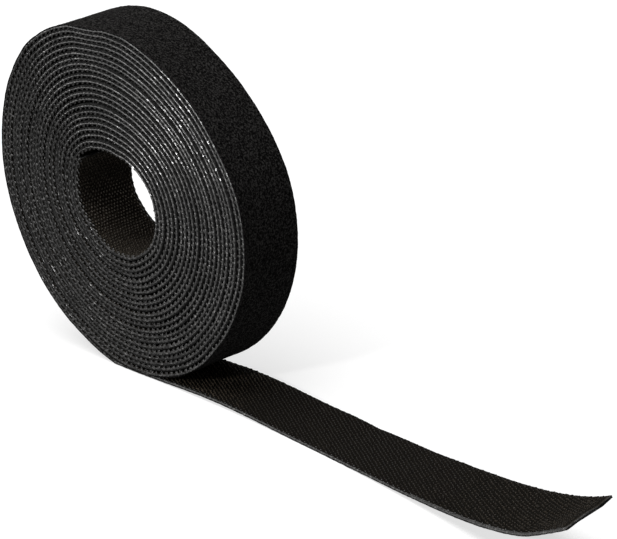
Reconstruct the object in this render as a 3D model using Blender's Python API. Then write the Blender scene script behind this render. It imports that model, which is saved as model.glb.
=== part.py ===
"""A roll of back-to-back hook and loop cable tie tape, with its free end lying out to one side.

The roll is one strip of tape. It is swept here as one solid: it starts at the wall of the open
hole, winds outwards turn by turn with a little air between the turns, and leaves the bottom of the
roll as a tail that lies on the floor and curls up at its cut end.
Metres, +Z up. The roll's axis lies along Y and the tail runs along +X.
"""
import math

import bmesh
import bpy
from mathutils import Vector

MM = 0.001
DEG = math.radians(1.0)

# The tape
TAPE_WIDTH = 20.0 * MM
TAPE_THICKNESS = 1.05 * MM
TURN_GAP = 0.35 * MM

# The open hole, and how far its middle lies from the middle of the roll
HOLE_RADIUS = 14.55 * MM
HOLE_SHIFT_X = -1.85 * MM
HOLE_SHIFT_Z = -0.6 * MM

# A soft roll isn't quite round. Each lobe is a count of bulges, their height and where one of them is.
HOLE_OVAL = 1.05 * MM
HOLE_OVAL_ANGLE = 142.5 * DEG
HOLE_PEAR = 0.3 * MM
HOLE_PEAR_ANGLE = 10.5 * DEG
HOLE_SQUARENESS = 0.25 * MM
HOLE_SQUARENESS_ANGLE = 49.6 * DEG
ROLL_OVAL = 2.94 * MM
ROLL_OVAL_ANGLE = 129.3 * DEG
ROLL_PEAR = 0.52 * MM
ROLL_PEAR_ANGLE = 13.2 * DEG
ROLL_SQUARENESS = 0.37 * MM
ROLL_SQUARENESS_ANGLE = 22.9 * DEG

# The winding, counter-clockwise from the inner end of the tape, seen from the front
FULL_TURNS = 22
INNER_END_ANGLE = 146.0 * DEG
STEPS_PER_TURN = 48
FLAT_SPOT = 6.0 * MM

# The tail, by distance along the tape from the start of the flat spot
TAIL_LENGTH = 187.2 * MM
HUMP_HEIGHT = 0.78 * MM
HUMP_START = 6.5 * MM
HUMP_END = 71.5 * MM
CURL_START = 58.6 * MM
CURL_ANGLE = 33.5 * DEG
CURL_GROWTH = 2.61
TWIST_START = 80.7 * MM
TWIST_ANGLE = 14.9 * DEG
TWIST_GROWTH = 0.8
SIDE_BEND = -20.0 * DEG
SIDE_BEND_GROWTH = 1.32
CUT_SKEW = 9.8 * MM
CUT_RUN = 45.0 * MM
TAIL_STEP = 3.2 * MM
WALK_STEP = 0.4 * MM

TAPE_COLOR = (0.011, 0.010, 0.009, 1.0)
TAPE_ROUGHNESS = 0.92

PITCH = TAPE_THICKNESS + TURN_GAP
FULL_CIRCLE = 2.0 * math.pi
BOTTOM = 1.5 * math.pi
ACROSS = Vector((0.0, 1.0, 0.0))


def clear_scene():
    """Removes every object of the open file."""
    for obj in list(bpy.data.objects):
        bpy.data.objects.remove(obj, do_unlink=True)


def lobe(count, height, angle, theta):
    """Gives the bulge at angle theta of a lobe pattern."""
    return height * math.cos(count * (theta - angle))


def hole_bulge(theta):
    """Gives how far the hole's wall lies outside its mean circle."""
    oval = lobe(2, HOLE_OVAL, HOLE_OVAL_ANGLE, theta)
    pear = lobe(3, HOLE_PEAR, HOLE_PEAR_ANGLE, theta)
    return oval + pear + lobe(4, HOLE_SQUARENESS, HOLE_SQUARENESS_ANGLE, theta)


def roll_bulge(theta):
    """Gives how far the roll's rim lies outside its mean spiral."""
    oval = lobe(2, ROLL_OVAL, ROLL_OVAL_ANGLE, theta)
    pear = lobe(3, ROLL_PEAR, ROLL_PEAR_ANGLE, theta)
    return oval + pear + lobe(4, ROLL_SQUARENESS, ROLL_SQUARENESS_ANGLE, theta)


def rim_radius(theta, wound):
    """Gives the mean radius of the tape's outer face after a wound angle."""
    return HOLE_RADIUS + TAPE_THICKNESS + PITCH * wound / FULL_CIRCLE


def wound_angle():
    """Gives the whole angle of the winding, from the inner end to the flat spot."""
    to_bottom = (BOTTOM - INNER_END_ANGLE) % FULL_CIRCLE
    turned = FULL_CIRCLE * FULL_TURNS + to_bottom
    radius = rim_radius(BOTTOM, turned) + roll_bulge(BOTTOM)
    return turned - math.asin(0.5 * FLAT_SPOT / radius)


def roll_point(wound, whole):
    """Gives a point of the tape's outer face, measured from the middle of the roll."""
    share = wound / whole
    theta = INNER_END_ANGLE + wound
    bulge = (1.0 - share) * hole_bulge(theta) + share * roll_bulge(theta)
    radius = rim_radius(theta, wound) + bulge
    x = (1.0 - share) * HOLE_SHIFT_X + radius * math.cos(theta)
    z = (1.0 - share) * HOLE_SHIFT_Z + radius * math.sin(theta)
    return Vector((x, -0.5 * TAPE_WIDTH, z))


def roll_sections():
    """Gives the tape's sections from its inner end to the flat spot that the roll stands on."""
    whole = wound_angle()
    steps = round(whole / FULL_CIRCLE * STEPS_PER_TURN)
    step = whole / steps
    end = roll_point(whole, whole)
    sections = []
    for i in range(steps):
        front = roll_point(i * step, whole)
        along = roll_point((i + 0.5) * step, whole) - roll_point((i - 0.5) * step, whole)
        inward = along.normalized().cross(ACROSS)
        corner = front - Vector((0.0, 0.0, end.z))
        sections.append(section(corner, corner + ACROSS * TAPE_WIDTH, inward, inward))
    return sections, Vector((end.x, end.y, 0.0))


def section(front, back, front_up, back_up):
    """Gives the four corners of a cut across the tape: its outer face first, then its hook face."""
    front_top = front + front_up * TAPE_THICKNESS
    back_top = back + back_up * TAPE_THICKNESS
    return (front, back, back_top, front_top)


def grown(distance, start, growth):
    """Gives 0 up to start, growing to 1 at the tail's cut end."""
    share = (distance - start) / (TAIL_LENGTH - start)
    return min(max(share, 0.0), 1.0) ** growth


def tail_direction(distance):
    """Gives the direction that the tail runs in at a distance along it."""
    heading = SIDE_BEND * grown(distance, 0.0, SIDE_BEND_GROWTH)
    climb = CURL_ANGLE * grown(distance, CURL_START, CURL_GROWTH)
    level = Vector((math.cos(heading), math.sin(heading), 0.0))
    return level * math.cos(climb) + Vector((0.0, 0.0, math.sin(climb)))


def tail_frame(distance):
    """Gives the front edge's point, the direction across the tape and the direction off its hook face."""
    point = Vector((0.0, 0.0, 0.0))
    steps = max(1, round(distance / WALK_STEP))
    length = distance / steps
    for i in range(steps):
        point += tail_direction((i + 0.5) * length) * length
    hump = (distance - HUMP_START) / (HUMP_END - HUMP_START)
    if 0.0 < hump < 1.0:
        point.z += HUMP_HEIGHT * math.sin(math.pi * hump) ** 2
    along = tail_direction(distance)
    level = Vector((-along.y, along.x, 0.0)).normalized()
    twist = TWIST_ANGLE * grown(distance, TWIST_START, TWIST_GROWTH)
    across = level * math.cos(twist) + along.cross(level) * math.sin(twist)
    return point, across, along.cross(across).normalized()


def tail_sections(start):
    """Gives the tape's sections along the tail, whose cut end runs a little askew."""
    stations = [0.0, FLAT_SPOT]
    count = round((TAIL_LENGTH - FLAT_SPOT) / TAIL_STEP)
    for i in range(1, count + 1):
        stations.append(FLAT_SPOT + (TAIL_LENGTH - FLAT_SPOT) * i / count)
    sections = []
    for distance in stations:
        front, across, front_up = tail_frame(distance)
        near_cut = max(0.0, 1.0 - (TAIL_LENGTH - distance) / CUT_RUN)
        back_edge, back_across, back_up = tail_frame(distance - CUT_SKEW * near_cut)
        back = back_edge + back_across * TAPE_WIDTH
        sections.append(section(start + front, start + back, front_up, back_up))
    return sections


def sweep(name, sections):
    """Extrudes a cut of the tape from section to section into one closed solid."""
    mesh = bpy.data.meshes.new(name)
    shape = bmesh.new()
    corners = [shape.verts.new(corner) for corner in sections[0]]
    shape.faces.new(corners)
    edges = [shape.edges.get((corners[i], corners[(i + 1) % 4])) for i in range(4)]
    for section_corners in sections[1:]:
        extruded = bmesh.ops.extrude_edge_only(shape, edges=edges)["geom"]
        moved = {}
        for old, new in zip(corners, match_new_corners(corners, extruded)):
            moved[old] = new
        corners = [moved[old] for old in corners]
        for corner, place in zip(corners, section_corners):
            corner.co = place
        edges = [shape.edges.get((corners[i], corners[(i + 1) % 4])) for i in range(4)]
    shape.faces.new(corners)
    bmesh.ops.recalc_face_normals(shape, faces=shape.faces)
    shape.to_mesh(mesh)
    shape.free()
    return bpy.data.objects.new(name, mesh)


def match_new_corners(corners, extruded):
    """Gives, for each old corner, the new corner that the extrusion made at the same place."""
    new_corners = [item for item in extruded if isinstance(item, bmesh.types.BMVert)]
    return [min(new_corners, key=lambda new: (new.co - old.co).length) for old in corners]


def tape_material():
    """Gives the matt black of nylon loop and hook."""
    material = bpy.data.materials.new("black_nylon")
    material.use_nodes = True
    shader = material.node_tree.nodes["Principled BSDF"]
    shader.inputs["Base Color"].default_value = TAPE_COLOR
    shader.inputs["Roughness"].default_value = TAPE_ROUGHNESS
    shader.inputs["Metallic"].default_value = 0.0
    material.diffuse_color = TAPE_COLOR
    return material


def centre_on_floor(obj):
    """Moves the mesh so that the middle of its bounding box is over the origin and it stands on Z 0."""
    points = [vertex.co for vertex in obj.data.vertices]
    lows = [min(point[axis] for point in points) for axis in range(3)]
    highs = [max(point[axis] for point in points) for axis in range(3)]
    shift = Vector((0.5 * (lows[0] + highs[0]), 0.5 * (lows[1] + highs[1]), lows[2]))
    for vertex in obj.data.vertices:
        vertex.co -= shift


def build():
    """Builds the roll of tape in a collection of its own."""
    clear_scene()
    collection = bpy.data.collections.new("hook_and_loop_cable_tie")
    bpy.context.scene.collection.children.link(collection)
    wound, flat_spot_start = roll_sections()
    tape = sweep("tape", wound + tail_sections(flat_spot_start))
    centre_on_floor(tape)
    tape.data.materials.append(tape_material())
    collection.objects.link(tape)


build()
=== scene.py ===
"""The looks of a roll of back-to-back hook and loop cable tie tape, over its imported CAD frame.

One strip of tape is wound into a roll with an open hole and leaves it at the bottom as a tail.
Every piece here is laid on that same strip: a point of it is a distance along the tape, a share of
its width from the front edge, and a height off its outer, looped face. Metres, +Z up.
"""
import math

import bmesh
import bpy
import numpy as np
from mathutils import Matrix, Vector


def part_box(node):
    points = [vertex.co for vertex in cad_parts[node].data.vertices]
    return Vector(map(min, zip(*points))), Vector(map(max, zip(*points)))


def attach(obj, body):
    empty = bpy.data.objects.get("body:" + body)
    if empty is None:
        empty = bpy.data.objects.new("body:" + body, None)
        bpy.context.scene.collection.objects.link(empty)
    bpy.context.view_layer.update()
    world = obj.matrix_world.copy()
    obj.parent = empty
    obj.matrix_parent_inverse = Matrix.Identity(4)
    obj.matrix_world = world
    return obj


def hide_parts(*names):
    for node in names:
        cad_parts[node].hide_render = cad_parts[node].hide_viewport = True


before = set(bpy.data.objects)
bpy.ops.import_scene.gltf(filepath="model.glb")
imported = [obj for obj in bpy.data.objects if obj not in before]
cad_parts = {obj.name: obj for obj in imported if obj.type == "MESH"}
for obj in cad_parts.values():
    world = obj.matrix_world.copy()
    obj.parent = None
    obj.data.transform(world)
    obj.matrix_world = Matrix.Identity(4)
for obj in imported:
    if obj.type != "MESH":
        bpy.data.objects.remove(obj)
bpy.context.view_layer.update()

MM = 0.001
DEG = math.radians(1.0)
FULL_CIRCLE = 2.0 * math.pi
BOTTOM = 1.5 * math.pi

# The tape, as in the part's source
TAPE_WIDTH = 20.0 * MM
TAPE_THICKNESS = 1.05 * MM
TURN_GAP = 0.35 * MM
PITCH = TAPE_THICKNESS + TURN_GAP
HOLE_RADIUS = 14.55 * MM
HOLE_SHIFT_X = -1.85 * MM
HOLE_SHIFT_Z = -0.6 * MM
# Each lobe is a count of bulges, their height and the angle of one of them
HOLE_LOBES = ((2, 1.05 * MM, 142.5 * DEG), (3, 0.3 * MM, 10.5 * DEG), (4, 0.25 * MM, 49.6 * DEG))
ROLL_LOBES = ((2, 2.94 * MM, 129.3 * DEG), (3, 0.52 * MM, 13.2 * DEG), (4, 0.37 * MM, 22.9 * DEG))
FULL_TURNS = 22
INNER_END_ANGLE = 146.0 * DEG
STEPS_PER_TURN = 48
FLAT_SPOT = 6.0 * MM
TAIL_LENGTH = 187.2 * MM
HUMP_HEIGHT = 0.78 * MM
HUMP_START = 6.5 * MM
HUMP_END = 71.5 * MM
CURL_START = 58.6 * MM
CURL_ANGLE = 33.5 * DEG
CURL_GROWTH = 2.61
TWIST_START = 80.7 * MM
TWIST_ANGLE = 14.9 * DEG
TWIST_GROWTH = 0.8
SIDE_BEND = -20.0 * DEG
SIDE_BEND_GROWTH = 1.32
CUT_SKEW = 9.8 * MM
CUT_RUN = 45.0 * MM

# How finely the strip's path is worked out
SAMPLES_PER_TURN = 240
TAIL_SAMPLE = 0.4 * MM

# Where the strip's stretches end: the hole's wall with a spare length under the next turn, the
# outer turn by its mean radius, and the share of the tail at which its curl shows
WALL_SPARE = 4.0 * MM
OUTER_TURN_RADIUS = 47.5 * MM
CURLED_SHARE = 0.62
# The melted strip along the cut
MELTED = 1.5 * MM

# The tape's layers, by height off the looped face
PILE_LOW = 0.03 * MM
PILE_HIGH = 0.3 * MM
PILE_INSET = 0.11 * MM
BACKING_MIDDLE = 0.52 * MM
BACKING_HALF = 0.23 * MM
HOOK_FOOT = 0.71 * MM
# How far in the sides by a cut edge reach, how far in its roughness does, and into how many parts a
# fine section's broad sides go
EDGE_BAND = 0.7 * MM
ROUGH_BAND = 1.0 * MM
FINE_PARTS = 12
# Each layer's step along the strip, and how rough its edges are across and in height
BACKING_STEP, BACKING_ROUGH, BACKING_RIPPLE = 0.68 * MM, 0.03 * MM, 0.022 * MM
LOOPS_STEP, LOOPS_ROUGH, LOOPS_RIPPLE = 0.8 * MM, 0.03 * MM, 0.02 * MM
# How far the loops swell into the gaps of the roll, and the height below which their points do
LOOPS_SWELL = 0.2 * MM
SWELL_BELOW = 0.12 * MM

# The matted face of the loops: the cells and height of its tufts, and the height of its fuzz
TUFT_CELLS = (1.0 * MM, 0.9 * MM)
TUFT_HEIGHT = 0.1 * MM
FUZZ_HEIGHT = 0.06 * MM

# The knit's stitches along the backing's cut edges, with their tilts in degrees
STITCH_PITCH = 1.35 * MM
STITCH_TILT = 33.0
STITCH_SPREAD = 3.2
STITCH_WANDER = (8.0, 18.0 * MM)
# Half their length and half their width in millimetres, and how far in and how high they lie
STITCH_HALF_LENGTH = 0.49
STITCH_HALF_WIDTH = 0.2
STITCH_PLACE = (0.1, 0.36)
# A stitch's foot and top: the share of its size, and how far it stands out in millimetres
STITCH_LEVELS = ((1.0, -0.1), (0.72, 0.05))
# Stitches with a smaller half length than this have a dull inward side
LONG_STITCH = 0.58

# The lattice of hooks: along a row, and from row to row across the tape
HOOK_PITCH = 1.95 * MM
HOOK_ROWS = 38
ROW_PITCH = TAPE_WIDTH / HOOK_ROWS
EDGE_ROWS = 2
# The edge hooks are pressed longer in patches, by the product of two waves along the tape: the
# distances over which the waves run through one radian, and what is added to the product
MATTED_PATCHES = (13.0 * MM, 37.0 * MM)
MATTED_LEAD = 0.4
# How unevenly the hooks stand: along and across the tape, in height, and turned, in radians
HOOK_SCATTER = (0.09 * MM, 0.04 * MM)
HOOK_UNEVENNESS = 0.13
HOOK_TURN = 0.12
# Where the hooks of the hole's wall lie flat, by angle in degrees, and how tall they still are
FLAT_HOOKS = (-65.0, 60.0)
FLATTENED = 0.4
# How far apart a row's hooks look on the tail, by distance from its start in millimetres
TAIL_HOOK_PITCH = (
    (0, 1.95), (36, 2.0), (70, 2.1), (104, 2.3), (119, 2.55), (134, 2.85), (142, 2.95), (150, 3.6),
    (190, 3.75),
)
# How tall the hooks stand on the tail, by distance from its start in millimetres
TAIL_HOOK_HEIGHT = ((0, 1.0), (34, 1.0), (48, 0.4), (104, 0.4), (124, 0.75), (145, 1.0))
# How much light is painted into the hooks' colour on the tail, by share of its length: lighter at its start
# as painted sheen, darker over its middle
TAIL_PAINTED_LIGHT = ((0.0, 2.6), (0.18, 2.6), (0.27, 0.53), (0.56, 0.53), (0.66, 0.85), (0.82, 1.1), (1.0, 1.1))
MOST_PAINTED_LIGHT = 2.6

# How unevenly the tape is wound: height of a wander and the distance over which it changes
RADIAL_WANDER = (0.12 * MM, 28.0 * MM)
SIDE_WANDER = (0.28 * MM, 45.0 * MM)
SIDE_RIPPLE = (0.06 * MM, 8.0 * MM)
SETTLED = 60.0 * MM
# How far the edges of the roll's outer turns lie outside its rim, by degrees and millimetres
FRONT_EDGE = (
    (0, 0.2), (15, 0.4), (24, 0.25), (30, 0.1), (41, 0.25), (50, 0.6), (72, 0.6), (88, 0.5), (92, 0.1),
    (97, -0.3), (101, -1.0), (105, -1.15), (109, -0.75), (113, -0.1), (120, 0.2), (130, 0.45), (135, 0.65),
    (140, 0.35), (148, 0.2), (160, -0.1), (180, 0.0), (230, 0.0), (240, -0.1), (250, -0.4), (262, -0.1),
    (280, 0.0), (300, 0.2), (310, -0.1), (317, -0.6), (325, -0.4), (338, -0.2), (345, 0.15), (360, 0.2),
)
BACK_EDGE = (
    (0, 0.0), (20, 0.0), (35, -0.15), (45, -0.25), (60, -0.1), (70, 0.05), (76, 0.3), (85, 0.55),
    (100, 0.6), (108, 0.3), (116, 0.0), (280, 0.0), (300, 0.2), (312, 0.0), (360, 0.0),
)
# Over how many turns that fades inwards, and the share of the tape's width that an edge bends
EDGE_TURNS = 8.0
EDGE_REACH = 0.65
# How far the inner turns lie nearer the hole's middle than the part's, over their whole width,
# and how much further again their back edge does
HOLE_NARROW = (
    (0, 1.5), (50, 1.5), (75, 1.5), (85, 1.85), (116, 1.9), (126, 1.4), (136, 0.9), (150, 0.0), (160, -0.15),
    (186, -0.35), (196, -0.3), (206, 0.0), (220, 0.8), (245, 1.1), (262, 0.5), (286, 0.4), (296, 0.8),
    (306, 1.3), (346, 1.5), (360, 1.5),
)
HOLE_BACK = ((0, 0), (130, 0), (150, 0.7), (180, 0.65), (205, 0.2), (230, 0), (360, 0))
# Over how many turns that fades outwards
HOLE_TURNS = 13.0
# The same for the tail, by distance from its start in millimetres: above 0 an edge droops
TAIL_FRONT_EDGE = (
    (0, 0), (125, 0), (143, 0.2), (155, 0.35), (164, 0.45), (169, 0.2), (175, -0.1), (181, -0.1), (188, 0.2),
)
TAIL_BACK_EDGE = (
    (0, -0.2), (20, -0.6), (32, -0.8), (50, -0.6), (60, -0.6), (70, -0.95), (80, -0.7), (90, -0.5),
    (102, -0.25), (112, -0.5), (125, -0.7), (155, -0.65), (180, -0.25), (188, 0.0),
)
# How far the cut end falls short of a straight cut, by share of the width, in millimetres
CUT_JOG = (
    (0, -0.1), (0.1, 0.0), (0.2, 0.45), (0.3, 0.85), (0.4, 1.35), (0.5, 1.35), (0.6, 0.1), (0.7, -1.0),
    (0.8, -0.5), (0.9, 0.35), (0.95, 0.4), (1, 0.0),
)

# The camera that the photograph was taken from
CAMERA_PLACE = (656.024 * MM, -683.810 * MM, 433.819 * MM)
CAMERA_AZIMUTH = 43.55 * DEG
CAMERA_ELEVATION = 22.159 * DEG
CAMERA_LENS = 235.74
SENSOR_WIDTH = 36.0

# Each lamp's direction, strength and softness, and the light from all round
OVERHEAD_LAMP = ((-0.14, -0.25, 0.96), 2.75, 50.0 * DEG)
FRONT_LAMP = ((-0.01, -0.895, 0.446), 1.15, 5.0 * DEG)
AMBIENT = 0.1

# The floor: half its size, its height, its grey and its glow for the camera
FLOOR_HALF = 4.0
FLOOR_HEIGHT = -0.02 * MM
FLOOR_GREY = 0.42
FLOOR_GLOW = 0.66

random = np.random.default_rng(7)


def lobes(pattern, theta):
    """Gives the bulge of a pattern of lobes at the angles theta."""
    return sum(height * np.cos(count * (theta - angle)) for count, height, angle in pattern)


def rim_radius(wound):
    """Gives the mean radius of the tape's outer face after a wound angle."""
    return HOLE_RADIUS + TAPE_THICKNESS + PITCH * wound / FULL_CIRCLE


def wound_angle():
    """Gives the whole angle of the winding, from the inner end to the flat spot."""
    turned = FULL_CIRCLE * FULL_TURNS + (BOTTOM - INNER_END_ANGLE) % FULL_CIRCLE
    radius = rim_radius(turned) + lobes(ROLL_LOBES, BOTTOM)
    return turned - math.asin(0.5 * FLAT_SPOT / radius)


WHOLE_WOUND = wound_angle()


def roll_path(wound):
    """Gives points of the outer face's front edge, with the roll's middle at x and z 0."""
    share = wound / WHOLE_WOUND
    theta = INNER_END_ANGLE + wound
    bulge = (1.0 - share) * lobes(HOLE_LOBES, theta) + share * lobes(ROLL_LOBES, theta)
    radius = rim_radius(wound) + bulge
    x = (1.0 - share) * HOLE_SHIFT_X + radius * np.cos(theta)
    z = (1.0 - share) * HOLE_SHIFT_Z + radius * np.sin(theta)
    return np.stack([x, np.full_like(x, -0.5 * TAPE_WIDTH), z], axis=-1)


def unit(vectors):
    """Gives the vectors at length 1."""
    return vectors / np.linalg.norm(vectors, axis=-1, keepdims=True)


def roll_frames(wound):
    """Gives front points, directions across and directions inward at wound angles, on the floor."""
    front = roll_path(wound) - np.array([0.0, 0.0, roll_path(np.array([WHOLE_WOUND]))[0, 2]])
    along = unit(roll_path(wound + 0.01) - roll_path(wound - 0.01))
    across = np.tile([0.0, 1.0, 0.0], (len(wound), 1))
    return front, across, np.cross(along, across)


def grown(distance, start, growth):
    """Gives 0 up to start, growing to 1 at the tail's cut end."""
    return np.clip((distance - start) / (TAIL_LENGTH - start), 0.0, 1.0) ** growth


def tail_direction(distance):
    """Gives the direction that the tail runs in at distances along it."""
    heading = SIDE_BEND * grown(distance, 0.0, SIDE_BEND_GROWTH)
    climb = CURL_ANGLE * grown(distance, CURL_START, CURL_GROWTH)
    parts = [np.cos(heading) * np.cos(climb), np.sin(heading) * np.cos(climb), np.sin(climb)]
    return np.stack(parts, axis=-1)


def tail_frames(distance):
    """Gives front points, directions across and directions up along the tail, from its start."""
    steps = np.diff(distance)
    moves = tail_direction(0.5 * (distance[1:] + distance[:-1])) * steps[:, None]
    front = np.concatenate([np.zeros((1, 3)), np.cumsum(moves, axis=0)])
    hump = np.clip((distance - HUMP_START) / (HUMP_END - HUMP_START), 0.0, 1.0)
    front[:, 2] += HUMP_HEIGHT * np.sin(np.pi * hump) ** 2
    along = tail_direction(distance)
    level = unit(np.stack([-along[:, 1], along[:, 0], np.zeros(len(along))], axis=-1))
    twist = (TWIST_ANGLE * grown(distance, TWIST_START, TWIST_GROWTH))[:, None]
    across = level * np.cos(twist) + np.cross(along, level) * np.sin(twist)
    return front, across, unit(np.cross(along, across))


def cad_shift():
    """Gives how far the part's source moved the strip to centre its box over the origin."""
    wound = np.linspace(0.0, WHOLE_WOUND, round(WHOLE_WOUND / FULL_CIRCLE * STEPS_PER_TURN) + 1)
    front, across, _ = roll_frames(wound)
    corners = [front, front + across * TAPE_WIDTH]
    start = np.array([front[-1, 0], front[-1, 1], 0.0])
    fine = np.linspace(0.0, TAIL_LENGTH, 1 + round(TAIL_LENGTH / TAIL_SAMPLE))
    edge, tail_across, _ = tail_frames(fine)
    back = np.stack([np.interp(TAIL_LENGTH - CUT_SKEW, fine, edge[:, k]) for k in range(3)])
    back_across = np.stack([np.interp(TAIL_LENGTH - CUT_SKEW, fine, tail_across[:, k]) for k in range(3)])
    corners += [start + edge, start + back[None] + back_across[None] * TAPE_WIDTH]
    points = np.concatenate(corners)
    low, high = points.min(axis=0), points.max(axis=0)
    box_low, box_high = [np.array(corner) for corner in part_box("tape")]
    shift = 0.5 * (low + high) - 0.5 * (box_low + box_high)
    return np.array([shift[0], shift[1], 0.0])


def eased(part):
    """Gives a part from 0 to 1 with a level start and end."""
    return part * part * (3.0 - 2.0 * part)


def wander(distance, height, spacing):
    """Gives a smooth random wander of at most that height, which changes over the spacing."""
    values = random.uniform(-height, height, int(distance.max() / spacing) + 3)
    place = distance / spacing
    knot = np.floor(place).astype(int)
    part = eased(place - knot)
    return values[knot] * (1.0 - part) + values[knot + 1] * part


def strip_table():
    """Gives the strip's frames by distance along it, and the distance at which its tail starts."""
    wound = np.linspace(0.0, WHOLE_WOUND, int(WHOLE_WOUND / FULL_CIRCLE * SAMPLES_PER_TURN))
    front, across, inward = roll_frames(wound)
    middle = front + inward * 0.5 * TAPE_THICKNESS
    lengths = np.linalg.norm(np.diff(middle, axis=0), axis=1)
    distance = np.concatenate([[0.0], np.cumsum(lengths)])
    tail_start = distance[-1]
    settle = np.clip((tail_start - distance) / SETTLED, 0.0, 1.0)
    side = wander(distance, *SIDE_WANDER) + wander(distance, *SIDE_RIPPLE)
    edge_share = np.clip((wound - WHOLE_WOUND) / (FULL_CIRCLE * EDGE_TURNS) + 1.0, 0.0, 1.0)
    degrees = np.degrees(INNER_END_ANGLE + wound) % 360.0
    front_edge = np.interp(degrees, *np.array(FRONT_EDGE).T) * MM * edge_share
    back_edge = np.interp(degrees, *np.array(BACK_EDGE).T) * MM * edge_share
    start = np.array([front[-1, 0], front[-1, 1], 0.0])
    hole_share = np.clip(1.0 - wound / (FULL_CIRCLE * HOLE_TURNS), 0.0, 1.0)
    back_edge = back_edge - np.interp(degrees, *np.array(HOLE_BACK).T) * MM * hole_share
    narrow = np.interp(degrees, *np.array(HOLE_NARROW).T) * MM * hole_share
    front = front + inward * (wander(distance, *RADIAL_WANDER) * settle + narrow)[:, None]
    front = front + across * (side * settle)[:, None]
    along_tail = np.linspace(0.0, TAIL_LENGTH, 1 + round(TAIL_LENGTH / TAIL_SAMPLE))
    tail_front, tail_across, tail_up = tail_frames(along_tail)
    fronts = np.concatenate([front, start + tail_front[1:]]) - cad_shift()
    acrosses = np.concatenate([across, tail_across[1:]])
    inwards = np.concatenate([inward, tail_up[1:]])
    tables = [np.array(edge).T for edge in (TAIL_FRONT_EDGE, TAIL_BACK_EDGE)]
    tail_edges = [np.interp(along_tail[1:] / MM, *table) * MM for table in tables]
    edges = np.concatenate([np.stack([front_edge, back_edge], axis=-1), np.stack(tail_edges, axis=-1)])
    distances = np.concatenate([distance, tail_start + along_tail[1:]])
    angles = np.concatenate([np.degrees(INNER_END_ANGLE + wound), np.full(len(along_tail) - 1, 0.0)])
    table = np.concatenate([fronts, acrosses, inwards, edges, angles[:, None]], axis=1)
    return distances, table, tail_start


DISTANCES, FRAMES, TAIL_START = strip_table()
STRIP_LENGTH = TAIL_START + TAIL_LENGTH
OUTER_TURN_START = TAIL_START - FULL_CIRCLE * OUTER_TURN_RADIUS
WALL_END = FULL_CIRCLE * HOLE_RADIUS + WALL_SPARE
CURLED = TAIL_START + CURLED_SHARE * TAIL_LENGTH
MELTED_FROM = STRIP_LENGTH - MELTED
PLACES = (WALL_END, OUTER_TURN_START, TAIL_START, CURLED)


def tape_point(distance, share, height):
    """Gives points of the strip at distances along it, shares of its width and heights off its loops."""
    distance, share, height = np.broadcast_arrays(distance, share, height)
    near_cut = np.clip(1.0 - (STRIP_LENGTH - distance) / CUT_RUN, 0.0, None)
    jog = np.interp(share, *np.array(CUT_JOG).T) * MM * near_cut ** 6
    place = distance - CUT_SKEW * near_cut * share - jog
    columns = [np.interp(place, DISTANCES, FRAMES[:, k]) for k in range(11)]
    front = np.stack(columns[0:3], axis=-1)
    across = np.stack(columns[3:6], axis=-1)
    inward = np.stack(columns[6:9], axis=-1)
    proud = columns[9] * np.clip(1.0 - share / EDGE_REACH, 0.0, 1.0) ** 2
    proud = proud + columns[10] * np.clip(1.0 - (1.0 - share) / EDGE_REACH, 0.0, 1.0) ** 2
    return front + across * (TAPE_WIDTH * share)[..., None] + inward * (height - proud)[..., None]


def grid_quads(rows, columns, closed):
    """Gives the quads of a grid of points, as corner numbers."""
    first = np.arange(rows - 1)[:, None] * columns
    here = np.arange(columns if closed else columns - 1)[None, :]
    there = (here + 1) % columns
    corners = [first + here, first + there, first + there + columns, first + here + columns]
    return np.stack(corners, axis=-1).reshape(-1, 4)


def make_piece(name, points, faces, materials, coords=None):
    """Makes a mesh object from points and faces, rides it on the root and has it stand for the tape."""
    mesh = bpy.data.meshes.new(name)
    mesh.from_pydata(points.reshape(-1, 3).tolist(), [], faces)
    shape = bmesh.new()
    shape.from_mesh(mesh)
    bmesh.ops.recalc_face_normals(shape, faces=shape.faces)
    shape.to_mesh(mesh)
    shape.free()
    mesh.shade_smooth()
    for material in materials:
        mesh.materials.append(material)
    if coords is not None:
        layer = mesh.uv_layers.new(name="tape")
        corner_points = np.empty(len(mesh.loops), dtype=np.int32)
        mesh.loops.foreach_get("vertex_index", corner_points)
        layer.data.foreach_set("uv", coords.reshape(-1, 2)[corner_points].ravel())
    piece = bpy.data.objects.new(name, mesh)
    bpy.context.scene.collection.objects.link(piece)
    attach(piece, "root")
    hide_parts("tape")
    return piece


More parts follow.
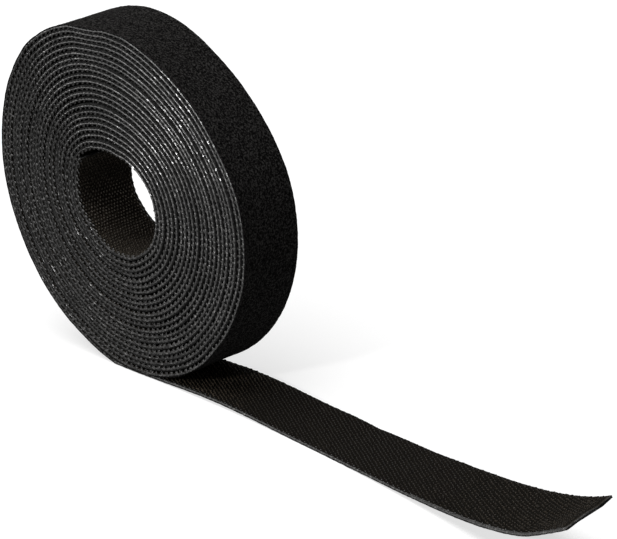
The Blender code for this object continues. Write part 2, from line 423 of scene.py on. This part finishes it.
def strip_piece(name, section, step, materials, rough, lengthwise, slots, start, end, swell=0.0):
    """Sweeps a closed section of (width place, height) pairs along a stretch of strip, with rough edges.

    The slots give each side's material in the hole's wall, in the roll, in its outer turn, on the tail
    and on its curl, and a swell fills the gaps of the roll.
    """
    rows = 2 + int((end - start) / step)
    distance = np.linspace(start, end, rows)[:, None]
    widths, heights = np.array(section).T
    columns = len(section)
    side = np.where(widths < 0.5 * TAPE_WIDTH, 1.0, -1.0)
    near_edge = np.minimum(widths, TAPE_WIDTH - widths) < ROUGH_BAND
    jitter = random.normal(0.0, 1.0, (rows, columns))
    shared = random.normal(0.0, 1.0, (rows, 2))
    teeth = np.cos(FULL_CIRCLE * distance / (0.5 * HOOK_PITCH))
    inset = rough * (0.5 * jitter + np.where(side > 0.0, shared[:, :1], shared[:, 1:]) + teeth)
    across = widths + side * near_edge * (inset + rough)
    tall = heights + near_edge * lengthwise * random.normal(0.0, 1.0, (rows, columns))
    covered = np.clip((OUTER_TURN_START - distance) / SETTLED, 0.0, 1.0)
    tall = tall - swell * covered * (heights < SWELL_BELOW)
    points = tape_point(distance, across / TAPE_WIDTH, tall)
    faces = grid_quads(rows, columns, True).tolist()
    faces.append(list(range(columns)))
    faces.append(list(range((rows - 1) * columns, rows * columns)))
    coords = np.stack(np.broadcast_arrays(distance, across), axis=-1)
    piece = make_piece(name, points, faces, materials, coords)
    stretch = sum((distance[1:, 0] > place).astype(int) for place in PLACES)
    sides = np.append(np.array(slots)[stretch].ravel(), [1, 1])
    piece.data.polygons.foreach_set("material_index", sides.astype(np.int32))
    return piece


def finer(section, slots):
    """Gives a section with points all along its two broad sides, and each stretch's slots to match."""
    places, sources = [], []
    for number, (place, height) in enumerate(section):
        there, there_height = section[(number + 1) % len(section)]
        parts = FINE_PARTS if abs(there - place) > 0.5 * TAPE_WIDTH else 1
        for part in range(parts):
            share = part / parts
            places.append((place + (there - place) * share, height + (there_height - height) * share))
            sources.append(number)
    return places, [[stretch[number] for number in sources] for stretch in slots]


def stitch_piece(name, back, material, dull):
    """Sets the knit's stitches along one cut edge of the backing, on its shoulder by the loops.

    Each is a low block, and the inward side of all but the longest ones is dull.
    """
    along = np.arange(0.5 * STITCH_PITCH, STRIP_LENGTH - 0.6 * MM, STITCH_PITCH)
    count = len(along)
    along = along + random.normal(0.0, 0.05 * MM, count)
    half = STITCH_HALF_LENGTH * random.normal(1.0, 0.15, count)
    tilts = random.normal(STITCH_TILT, STITCH_SPREAD, count) + wander(along, *STITCH_WANDER)
    tilts = np.radians(tilts)
    leans = np.tan(np.radians(random.normal(0.0, STITCH_SPREAD, count)))
    corners = []
    for reach, lift in STITCH_LEVELS:
        for end, side in ((-1, -1), (1, -1), (1, 1), (-1, 1)):
            run = end * half * reach
            slide = side * STITCH_HALF_WIDTH * reach
            rise = lift + end * half * leans * (lift > 0.0)
            place = STITCH_PLACE[0] - np.sin(tilts) * slide - np.cos(tilts) * rise
            height = STITCH_PLACE[1] + np.cos(tilts) * slide - np.sin(tilts) * rise
            corners.append(np.stack([run, place, height], axis=-1))
    template = np.stack(corners, axis=1) * MM
    template[:, :, 2] += random.normal(0.0, 0.02 * MM, count)[:, None]
    place = TAPE_WIDTH - template[:, :, 1] if back else template[:, :, 1]
    points = tape_point(along[:, None] + template[:, :, 0], place / TAPE_WIDTH, template[:, :, 2])
    sides = ((4, 5, 6, 7), (0, 1, 5, 4), (1, 2, 6, 5), (2, 3, 7, 6), (3, 0, 4, 7), (3, 2, 1, 0))
    faces = [[8 * number + corner for corner in side] for number in range(count) for side in sides]
    coords = np.stack(np.broadcast_arrays(along[:, None] + template[:, :, 0], place), axis=-1)
    piece = make_piece(name, points, faces, [material, dull], coords)
    piece.data.shade_flat()
    slots = np.zeros((count, len(sides)), dtype=np.int32)
    slots[half < LONG_STITCH, 3] = 1
    piece.data.polygons.foreach_set("material_index", slots.ravel())
    return piece


def hook_template():
    """Gives one hook's points, as (along, across, up), and its faces."""
    spine = ((0.0, 0.0), (0.01, 0.14), (0.05, 0.27), (0.14, 0.36), (0.27, 0.37))
    half_along = (0.32, 0.28, 0.23, 0.16, 0.07)
    half_across = (0.17, 0.15, 0.14, 0.12, 0.08)
    lean = (0.0, 0.1, 0.45, 1.1, 1.7)
    points = []
    for (run, rise), wide, deep, turn in zip(spine, half_along, half_across, lean):
        out = (math.cos(turn) * wide, math.sin(turn) * -wide)
        points.append((run - out[0], 0.0, rise - out[1]))
        points.append((run, -deep, rise))
        points.append((run + out[0], 0.0, rise + out[1]))
        points.append((run, deep, rise))
    faces = grid_quads(len(spine), 4, True).tolist()
    faces.append([len(points) - 4, len(points) - 3, len(points) - 2, len(points) - 1])
    return np.array(points) * MM, faces


def hook_pitch(distance):
    """Gives how far apart the hooks of a row stand at distances along the tape."""
    return np.interp((distance - TAIL_START) / MM, *np.array(TAIL_HOOK_PITCH).T) * MM


def hook_places(rows, start, end):
    """Gives the places of hooks, as (along, across), for rows of the lattice from start to end."""
    steps = np.diff(DISTANCES) / hook_pitch(0.5 * (DISTANCES[1:] + DISTANCES[:-1]))
    counted = np.concatenate([[0.0], np.cumsum(steps)])
    places = []
    for row in rows:
        along = np.interp(np.arange(int(counted[-1]) + 1) + 0.5 * (row % 2), counted, DISTANCES)
        along = along[(along > start) & (along < min(end, MELTED_FROM))]
        places.append(np.stack([along, np.full_like(along, (row + 0.5) * ROW_PITCH)], axis=-1))
    return np.concatenate(places)


def hook_piece(name, rows, start, end, material, height=1.0, stretch=1.0, ridged=False, matted=0.0):
    """Sets hooks on rows of the lattice from start to end along the strip.

    Ridged hooks run into lines, and matted ones are pressed longer by that share in patches.
    """
    template, template_faces = hook_template()
    places = hook_places(rows, start, end)
    count = len(places)
    pitch = hook_pitch(places[:, 0])
    ridge = -np.arctan2(ROW_PITCH, 0.5 * pitch) * ridged
    places[:, 0] += random.normal(0.0, HOOK_SCATTER[0], count)
    places[:, 1] += random.normal(0.0, HOOK_SCATTER[1], count)
    tall = height * random.normal(1.0, HOOK_UNEVENNESS, count)
    tall = tall * np.interp((places[:, 0] - TAIL_START) / MM, *np.array(TAIL_HOOK_HEIGHT).T)
    angle = (np.interp(places[:, 0], DISTANCES, FRAMES[:, 11]) + 180.0) % 360.0 - 180.0
    in_wall = places[:, 0] < WALL_END
    on_right = (angle > FLAT_HOOKS[0]) & (angle < FLAT_HOOKS[1])
    at_back = places[:, 1] > TAPE_WIDTH - EDGE_ROWS * ROW_PITCH
    tall = np.where(in_wall & (on_right | at_back), FLATTENED * tall, tall)
    turn = random.normal(0.0, HOOK_TURN, count) + ridge
    template = np.repeat(template[None], count, axis=0)
    patches = np.sin(places[:, 0] / MATTED_PATCHES[0]) * np.sin(places[:, 0] / MATTED_PATCHES[1])
    longer = 1.0 + matted * (MATTED_LEAD + patches)
    template[:, :, 0] *= (stretch * longer * pitch / HOOK_PITCH)[:, None]
    cosine, sine = np.cos(turn)[:, None], np.sin(turn)[:, None]
    along = template[:, :, 0] * cosine - template[:, :, 1] * sine
    across = template[:, :, 0] * sine + template[:, :, 1] * cosine
    across = across + template[:, :, 2] * random.normal(0.0, HOOK_TURN, count)[:, None]
    rise = HOOK_FOOT + template[:, :, 2] * tall[:, None]
    share = (places[:, 1][:, None] + across) / TAPE_WIDTH
    points = tape_point(places[:, 0][:, None] + along, share, rise)
    faces = []
    for number in range(count):
        first = number * template.shape[1]
        faces.extend([[first + corner for corner in face] for face in template_faces])
    coords = np.stack(np.broadcast_arrays(places[:, 0][:, None] + along, share * TAPE_WIDTH), axis=-1)
    return make_piece(name, points, faces, [material], coords)


def value_noise(rows, columns, row_cell, column_cell):
    """Gives smooth random values from 0 to 1 on a grid, with a new value every few cells."""
    knots = random.uniform(0.0, 1.0, (int(rows / row_cell) + 3, int(columns / column_cell) + 3))
    row_place, column_place = np.arange(rows) / row_cell, np.arange(columns) / column_cell
    row, column = np.floor(row_place).astype(int), np.floor(column_place).astype(int)
    down, right = eased(row_place - row)[:, None], eased(column_place - column)[None, :]
    top = knots[row][:, column] * (1.0 - right) + knots[row][:, column + 1] * right
    low = knots[row + 1][:, column] * (1.0 - right) + knots[row + 1][:, column + 1] * right
    return top * (1.0 - down) + low * down


def loop_face(name, start, end, material, cell, proud):
    """Lays the matted loops over the outer face from start to end, proud of it where it is wound."""
    rows = 1 + int((end - start) / cell)
    columns = 1 + int(TAPE_WIDTH / cell)
    distance = np.linspace(start, end, rows)[:, None]
    across = np.linspace(0.0, TAPE_WIDTH, columns)[None, :]
    tufts = value_noise(rows, columns, TUFT_CELLS[0] / cell, TUFT_CELLS[1] / cell)
    fuzz = random.uniform(0.0, 1.0, (rows, columns))
    wound = np.clip((TAIL_START - distance) / SETTLED, 0.0, 1.0)
    height = TUFT_HEIGHT * tufts + FUZZ_HEIGHT * fuzz - proud * wound
    points = tape_point(distance, across / TAPE_WIDTH, height)
    coords = np.stack(np.broadcast_arrays(distance, across), axis=-1)
    return make_piece(name, points, grid_quads(rows, columns, False).tolist(), [material], coords)


def node_material(name, color, roughness, specular):
    """Starts a material: its name, flat colour, roughness and gloss on the shader's own sockets."""
    material = bpy.data.materials.new(name)
    material.use_nodes = True
    shader = material.node_tree.nodes["Principled BSDF"]
    shader.inputs["Base Color"].default_value = (*color, 1.0)
    shader.inputs["Roughness"].default_value = roughness
    shader.inputs["Specular IOR Level"].default_value = specular
    material.diffuse_color = (*color, 1.0)
    return material


def add_noise(material, scale, detail):
    """Adds a noise texture in the piece's own place and gives its node."""
    tree = material.node_tree
    coordinate = tree.nodes.new("ShaderNodeTexCoord")
    noise = tree.nodes.new("ShaderNodeTexNoise")
    noise.inputs["Scale"].default_value = scale
    noise.inputs["Detail"].default_value = detail
    tree.links.new(coordinate.outputs["Object"], noise.inputs["Vector"])
    return noise


def add_ramp(material, source, stops):
    """Adds a colour ramp of (place, colour) stops on a value and gives its node."""
    ramp = material.node_tree.nodes.new("ShaderNodeValToRGB")
    elements = ramp.color_ramp.elements
    while len(elements) < len(stops):
        elements.new(0.5)
    for element, (place, color) in zip(elements, stops):
        element.position = place
        element.color = (*color, 1.0)
    material.node_tree.links.new(source, ramp.inputs["Fac"])
    return ramp


def add_bump(material, source, strength, distance):
    """Bumps the surface by a value."""
    tree = material.node_tree
    bump = tree.nodes.new("ShaderNodeBump")
    bump.inputs["Strength"].default_value = strength
    bump.inputs["Distance"].default_value = distance
    tree.links.new(source, bump.inputs["Height"])
    tree.links.new(bump.outputs["Normal"], tree.nodes["Principled BSDF"].inputs["Normal"])


def set_color(material, ramp):
    """Colours the material by a ramp."""
    shader = material.node_tree.nodes["Principled BSDF"]
    material.node_tree.links.new(ramp.outputs["Color"], shader.inputs["Base Color"])


def loop_material():
    """Gives the matted black loops: mottled, soft and without gloss."""
    material = node_material("black_loops", (0.009, 0.0086, 0.0084), 1.0, 0.02)
    mottle = add_noise(material, 1800.0, 5.0)
    mottle.inputs["Roughness"].default_value = 0.75
    stops = (
        (0.42, (0.0006, 0.0006, 0.0006)),
        (0.5, (0.0072, 0.0069, 0.0067)),
        (0.58, (0.036, 0.0345, 0.0335)),
    )
    set_color(material, add_ramp(material, mottle.outputs["Fac"], stops))
    fuzz = add_noise(material, 2600.0, 4.0)
    add_bump(material, fuzz.outputs["Fac"], 0.9, 0.0003)
    return material


def cut_loop_and_painted_gap_light_material(name, gain):
    """Gives the dull grey of the cut loops, lighter by the gain; in the roll's shaded gaps between turns
    this grey and a lighter copy are painted light.
    """
    material = node_material(name, (0.014 * gain, 0.0138 * gain, 0.0136 * gain), 0.9, 0.1)
    mottle = add_noise(material, 1900.0, 3.0)
    greys = ((0.4, 0.007), (0.5, 0.014), (0.64, 0.03))
    stops = [(place, (grey * gain, 0.985 * grey * gain, 0.965 * grey * gain)) for place, grey in greys]
    set_color(material, add_ramp(material, mottle.outputs["Fac"], stops))
    add_bump(material, mottle.outputs["Fac"], 0.8, 0.0002)
    return material


def dull_edge_material():
    """Gives the dull grey of the backing by the hooks, next to a cut edge."""
    material = node_material("dull_nylon_edge", (0.03, 0.0295, 0.029), 0.7, 0.2)
    mottle = add_noise(material, 1500.0, 3.0)
    stops = ((0.4, (0.0095, 0.0093, 0.009)), (0.5, (0.026, 0.0254, 0.0248)), (0.66, (0.085, 0.0836, 0.082)))
    set_color(material, add_ramp(material, mottle.outputs["Fac"], stops))
    add_bump(material, mottle.outputs["Fac"], 0.4, 0.0002)
    return material


def cut_edge_material(name, gain):
    """Gives the pale, broken nylon of the tape's cut edges, lighter by the gain, with rare bright specks
    that are painted glints.
    """
    material = node_material(name, (0.05 * gain, 0.0488 * gain, 0.047 * gain), 0.27, 1.0)
    chip_and_glint_noise = add_noise(material, 1500.0, 3.0)
    patches = add_noise(material, 110.0, 2.0)
    both = material.node_tree.nodes.new("ShaderNodeMath")
    both.operation = "MULTIPLY_ADD"
    both.inputs[1].default_value = 0.35
    material.node_tree.links.new(patches.outputs["Fac"], both.inputs[0])
    material.node_tree.links.new(chip_and_glint_noise.outputs["Fac"], both.inputs[2])
    # The ramp's brightest, rarest stop is painted glints; the others are the broken nylon's own greys.
    greys = ((0.53, 0.013), (0.67, 0.046), (0.81, 0.095), (0.93, 0.4))
    stops = [(place, (grey * gain, 0.975 * grey * gain, 0.94 * grey * gain)) for place, grey in greys]
    set_color(material, add_ramp(material, both.outputs[0], stops))
    grit = add_noise(material, 2600.0, 2.0)
    add_bump(material, grit.outputs["Fac"], 0.15, 0.00015)
    return material


def ground_material(name, gain):
    """Gives the black backing that the hooks stand on, lighter by the gain: its lighter copies are painted
    light in the roll's shaded gaps and the hole's wall, and give the melted strip at the cut its lighter
    tone.
    """
    material = node_material(name, (0.0045 * gain, 0.0038 * gain, 0.003 * gain), 0.9, 0.03)
    weave = add_noise(material, 1800.0, 2.0)
    colors = ((0.35, (0.0022, 0.00186, 0.0015)), (0.7, (0.0075, 0.0063, 0.0048)))
    stops = [(place, [gain * part for part in color]) for place, color in colors]
    set_color(material, add_ramp(material, weave.outputs["Fac"], stops))
    add_bump(material, weave.outputs["Fac"], 0.5, 0.0002)
    return material


def hook_material(name, dark, light, roughness, specular):
    """Gives the moulded hooks' nylon, from dark to light along the tape."""
    material = node_material(name, light, roughness, specular)
    shade = add_noise(material, 900.0, 2.0)
    set_color(material, add_ramp(material, shade.outputs["Fac"], ((0.35, dark), (0.68, light))))
    add_bump(material, add_noise(material, 4200.0, 1.0).outputs["Fac"], 0.3, 0.0001)
    return material


def paint_light_along_tail(material):
    """Lightens a material by the light painted into the tail's hooks at each distance along the tape."""
    tree = material.node_tree
    shader = tree.nodes["Principled BSDF"]
    shade = shader.inputs["Base Color"].links[0].from_socket
    coordinate = tree.nodes.new("ShaderNodeTexCoord")
    split = tree.nodes.new("ShaderNodeSeparateXYZ")
    tree.links.new(coordinate.outputs["UV"], split.inputs[0])
    place = tree.nodes.new("ShaderNodeMapRange")
    place.inputs["From Min"].default_value = TAIL_START
    place.inputs["From Max"].default_value = STRIP_LENGTH
    tree.links.new(split.outputs["X"], place.inputs["Value"])
    stops = [(share, (gain / MOST_PAINTED_LIGHT,) * 3) for share, gain in TAIL_PAINTED_LIGHT]
    ramp = add_ramp(material, place.outputs[0], stops)
    lighter = tree.nodes.new("ShaderNodeVectorMath")
    lighter.operation = "MULTIPLY"
    tree.links.new(shade, lighter.inputs[0])
    tree.links.new(ramp.outputs["Color"], lighter.inputs[1])
    tree.links.new(lighter.outputs[0], shader.inputs["Base Color"])


def add_camera():
    """Puts the camera where the photograph was taken from."""
    data = bpy.data.cameras.new("photo_camera")
    data.sensor_width = SENSOR_WIDTH
    data.lens = CAMERA_LENS
    data.clip_end = 20.0
    camera = bpy.data.objects.new("photo_camera", data)
    camera.location = CAMERA_PLACE
    level = math.cos(CAMERA_ELEVATION)
    sideways, away = -math.sin(CAMERA_AZIMUTH) * level, math.cos(CAMERA_AZIMUTH) * level
    forward = (sideways, away, -math.sin(CAMERA_ELEVATION))
    camera.rotation_mode = "QUATERNION"
    camera.rotation_quaternion = Vector(forward).to_track_quat("-Z", "Y")
    bpy.context.scene.collection.objects.link(camera)
    bpy.context.scene.camera = camera


def add_sun(name, toward, strength, softness):
    """Adds a soft far lamp that shines from a direction."""
    data = bpy.data.lights.new(name, "SUN")
    data.energy = strength
    data.angle = softness
    lamp = bpy.data.objects.new(name, data)
    lamp.rotation_mode = "QUATERNION"
    lamp.rotation_quaternion = Vector(toward).to_track_quat("Z", "Y")
    bpy.context.scene.collection.objects.link(lamp)


def add_world():
    """Lights the scene softly from all round, and shows plain white behind it."""
    world = bpy.data.worlds.new("studio")
    bpy.context.scene.world = world
    world.use_nodes = True
    tree = world.node_tree
    ambient = tree.nodes["Background"]
    ambient.inputs["Color"].default_value = (1.0, 1.0, 1.0, 1.0)
    ambient.inputs["Strength"].default_value = AMBIENT
    white = tree.nodes.new("ShaderNodeBackground")
    white.inputs["Color"].default_value = (1.0, 1.0, 1.0, 1.0)
    white.inputs["Strength"].default_value = 1.0
    path = tree.nodes.new("ShaderNodeLightPath")
    seen = tree.nodes.new("ShaderNodeMath")
    seen.operation = "MAXIMUM"
    tree.links.new(path.outputs["Is Camera Ray"], seen.inputs[0])
    tree.links.new(path.outputs["Is Glossy Ray"], seen.inputs[1])
    through = tree.nodes.new("ShaderNodeMath")
    through.operation = "MAXIMUM"
    tree.links.new(seen.outputs[0], through.inputs[0])
    tree.links.new(path.outputs["Is Transmission Ray"], through.inputs[1])
    choose = tree.nodes.new("ShaderNodeMixShader")
    tree.links.new(through.outputs[0], choose.inputs["Fac"])
    tree.links.new(ambient.outputs[0], choose.inputs[1])
    tree.links.new(white.outputs[0], choose.inputs[2])
    tree.links.new(choose.outputs[0], tree.nodes["World Output"].inputs["Surface"])


def add_floor():
    """Lays a plain pale floor that looks white and keeps the object's shadow."""
    half, low = FLOOR_HALF, FLOOR_HEIGHT
    mesh = bpy.data.meshes.new("floor")
    corners = [(-half, -half, low), (half, -half, low), (half, half, low), (-half, half, low)]
    mesh.from_pydata(corners, [], [(0, 1, 2, 3)])
    floor = bpy.data.objects.new("floor", mesh)
    bpy.context.scene.collection.objects.link(floor)
    material = bpy.data.materials.new("pale_floor")
    material.use_nodes = True
    tree = material.node_tree
    shader = tree.nodes["Principled BSDF"]
    shader.inputs["Base Color"].default_value = (FLOOR_GREY, FLOOR_GREY, FLOOR_GREY, 1.0)
    shader.inputs["Roughness"].default_value = 1.0
    shader.inputs["Specular IOR Level"].default_value = 0.0
    shader.inputs["Emission Color"].default_value = (1.0, 1.0, 1.0, 1.0)
    path = tree.nodes.new("ShaderNodeLightPath")
    glow = tree.nodes.new("ShaderNodeMath")
    glow.operation = "MULTIPLY"
    glow.inputs[1].default_value = FLOOR_GLOW
    tree.links.new(path.outputs["Is Camera Ray"], glow.inputs[0])
    tree.links.new(glow.outputs[0], shader.inputs["Emission Strength"])
    mesh.materials.append(material)


def closed_section(front):
    """Gives a whole section from its points by the front edge, the same at the back edge."""
    return front + [(TAPE_WIDTH - place, height) for place, height in reversed(front)]


def add_backing(dull_edge):
    """Builds the backing, in the hole's wall, in the roll, in its outer turn and tail, and at the cut."""
    low, high = BACKING_MIDDLE - BACKING_HALF, BACKING_MIDDLE + BACKING_HALF
    near, bulge, bevel = 0.07 * MM, 0.26 * MM, 0.06 * MM
    section = closed_section([
        (EDGE_BAND, high), (bulge, high), (near, high - bevel), (0.0, BACKING_MIDDLE), (near, low + bevel),
        (bulge, low),
    ])
    # The two lighter copies of the black backing are painted light. One is on the hooked face by the edges
    # in the roll, where the gaps between turns lie in shade. The other is in the hole's wall, and it also
    # gives the melted strip at the cut its own lighter tone.
    materials = [
        ground_material("black_backing", 1.0), dull_edge, cut_edge_material("cut_nylon_edge", 0.74),
        ground_material("edge_backing_painted_light", 4.0), ground_material("wall_backing_painted_light_and_melt", 4.2),
    ]
    # By side of the section, from the front edge's hooked face round to its looped face and the back
    in_wall, in_roll = (4, 1, 1, 2, 2, 0, 2, 2, 1, 4, 4, 4), (3, 1, 1, 2, 2, 0, 2, 2, 1, 1, 3, 0)
    on_tail, on_curl = (0, 1, 2, 2, 2, 0, 2, 2, 2, 0, 0, 0), (1, 1, 2, 2, 2, 0, 2, 2, 2, 0, 0, 0)
    slots = (in_wall, in_roll, in_roll, on_tail, on_curl)
    looks = (BACKING_STEP, materials, BACKING_ROUGH, BACKING_RIPPLE)
    fine, fine_slots = finer(section, slots)
    melted = [[4 if slot == 0 else slot for slot in fine_slots[-1]]] * len(fine_slots)
    strip_piece("tape_backing_wall", fine, *looks, fine_slots, 0.0, WALL_END)
    strip_piece("tape_backing", section, *looks, slots, WALL_END, OUTER_TURN_START)
    strip_piece("tape_backing_outer", fine, *looks, fine_slots, OUTER_TURN_START, MELTED_FROM)
    strip_piece("tape_backing_cut", fine, *looks, melted, MELTED_FROM, STRIP_LENGTH)


def add_loops(loops, dull_edge):
    """Builds the loops' layer, in the roll, and in its outer turn and tail."""
    inset, bevel = PILE_INSET, 0.2 * MM
    section = closed_section([
        (inset + 0.3 * MM, PILE_HIGH), (inset, PILE_HIGH - 0.04 * MM), (inset, PILE_LOW + 0.06 * MM),
        (inset + bevel, PILE_LOW), (EDGE_BAND, PILE_LOW),
    ])
    # In the roll, the cut loops' grey on the looped face's band by each edge and a lighter copy on the rest
    # of that face are painted light, where the gaps between turns lie in shade.
    materials = [
        loops, cut_loop_and_painted_gap_light_material("cut_loops_and_painted_gap_light", 1.0), dull_edge, cut_loop_and_painted_gap_light_material("gap_loops_painted_light", 2.2),
    ]
    in_roll, outside = (1, 1, 1, 1, 3, 1, 1, 1, 1, 3), (1, 1, 1, 1, 0, 1, 1, 1, 1, 0)
    on_tail = (2, 2, 2, 0, 0, 0, 2, 2, 2, 0)
    slots = (in_roll, in_roll, outside, on_tail, on_tail)
    looks = (LOOPS_STEP, materials, LOOPS_ROUGH, LOOPS_RIPPLE)
    strip_piece("tape_loops", section, *looks, slots, 0.0, OUTER_TURN_START, LOOPS_SWELL)
    fine, fine_slots = finer(section, slots)
    strip_piece("tape_loops_outer", fine, *looks, fine_slots, OUTER_TURN_START, STRIP_LENGTH)


def add_hooks():
    """Builds the hooks along both edges, in the hole's wall and on the tail."""
    # The tail's hooks carry painted light along the tail, with a painted sheen at its start.
    tail_dark = [MOST_PAINTED_LIGHT * part for part in (0.009, 0.0075, 0.0057)]
    tail_light = [MOST_PAINTED_LIGHT * part for part in (0.026, 0.0207, 0.0148)]
    on_tail = hook_material("black_hooks", tail_dark, tail_light, 0.55, 0.12)
    paint_light_along_tail(on_tail)
    # The hole's wall hooks are a lighter copy, painted light where the wall lies in shade.
    in_wall = hook_material("wall_hooks_painted_light", (0.0286, 0.0247, 0.0201), (0.0728, 0.0624, 0.0507), 0.55, 0.12)
    by_edge = hook_material("cut_hooks", (0.014, 0.0136, 0.0131), (0.054, 0.0525, 0.0505), 0.34, 0.5)
    first_rows, last_rows = range(EDGE_ROWS), range(HOOK_ROWS - EDGE_ROWS, HOOK_ROWS)
    inner_rows = range(EDGE_ROWS, HOOK_ROWS - EDGE_ROWS)
    tail_from = TAIL_START + 2.0 * MM
    wound, tail = (0.0, tail_from), (tail_from, STRIP_LENGTH)
    hook_piece("tape_hooks_front", first_rows, *wound, by_edge, height=1.15, stretch=1.5, matted=0.4)
    hook_piece("tape_hooks_back", last_rows, *wound, by_edge, height=1.15, stretch=1.5, matted=0.4)
    hook_piece("tape_hooks_wall", inner_rows, 0.0, WALL_END, in_wall, stretch=1.2, ridged=True)
    hook_piece("tape_hooks_tail", inner_rows, *tail, on_tail, stretch=1.8, ridged=True)
    hook_piece("tape_hooks_tail_front", first_rows, *tail, by_edge, height=0.7, stretch=1.2, ridged=True)
    hook_piece("tape_hooks_tail_back", last_rows, *tail, on_tail, height=0.35, stretch=1.7)


def add_tape():
    """Builds the tape: its backing, its loops, its stitches and its hooks."""
    loops, dull_edge = loop_material(), dull_edge_material()
    stitches = cut_edge_material("edge_stitches", 1.26)
    add_backing(dull_edge)
    add_loops(loops, dull_edge)
    stitch_piece("tape_stitches_front", False, stitches, dull_edge)
    stitch_piece("tape_stitches_back", True, stitches, dull_edge)
    loop_face("tape_loop_face", OUTER_TURN_START, TAIL_START, loops, cell=0.38 * MM, proud=0.18 * MM)
    loop_face("tape_loop_face_tail", TAIL_START, STRIP_LENGTH, loops, cell=0.7 * MM, proud=0.0)
    add_hooks()


def build():
    """Builds the camera, the light, the floor and the tape."""
    bpy.context.scene.view_settings.view_transform = "Standard"
    add_camera()
    add_sun("overhead", *OVERHEAD_LAMP)
    add_sun("front", *FRONT_LAMP)
    add_world()
    add_floor()
    add_tape()


build()
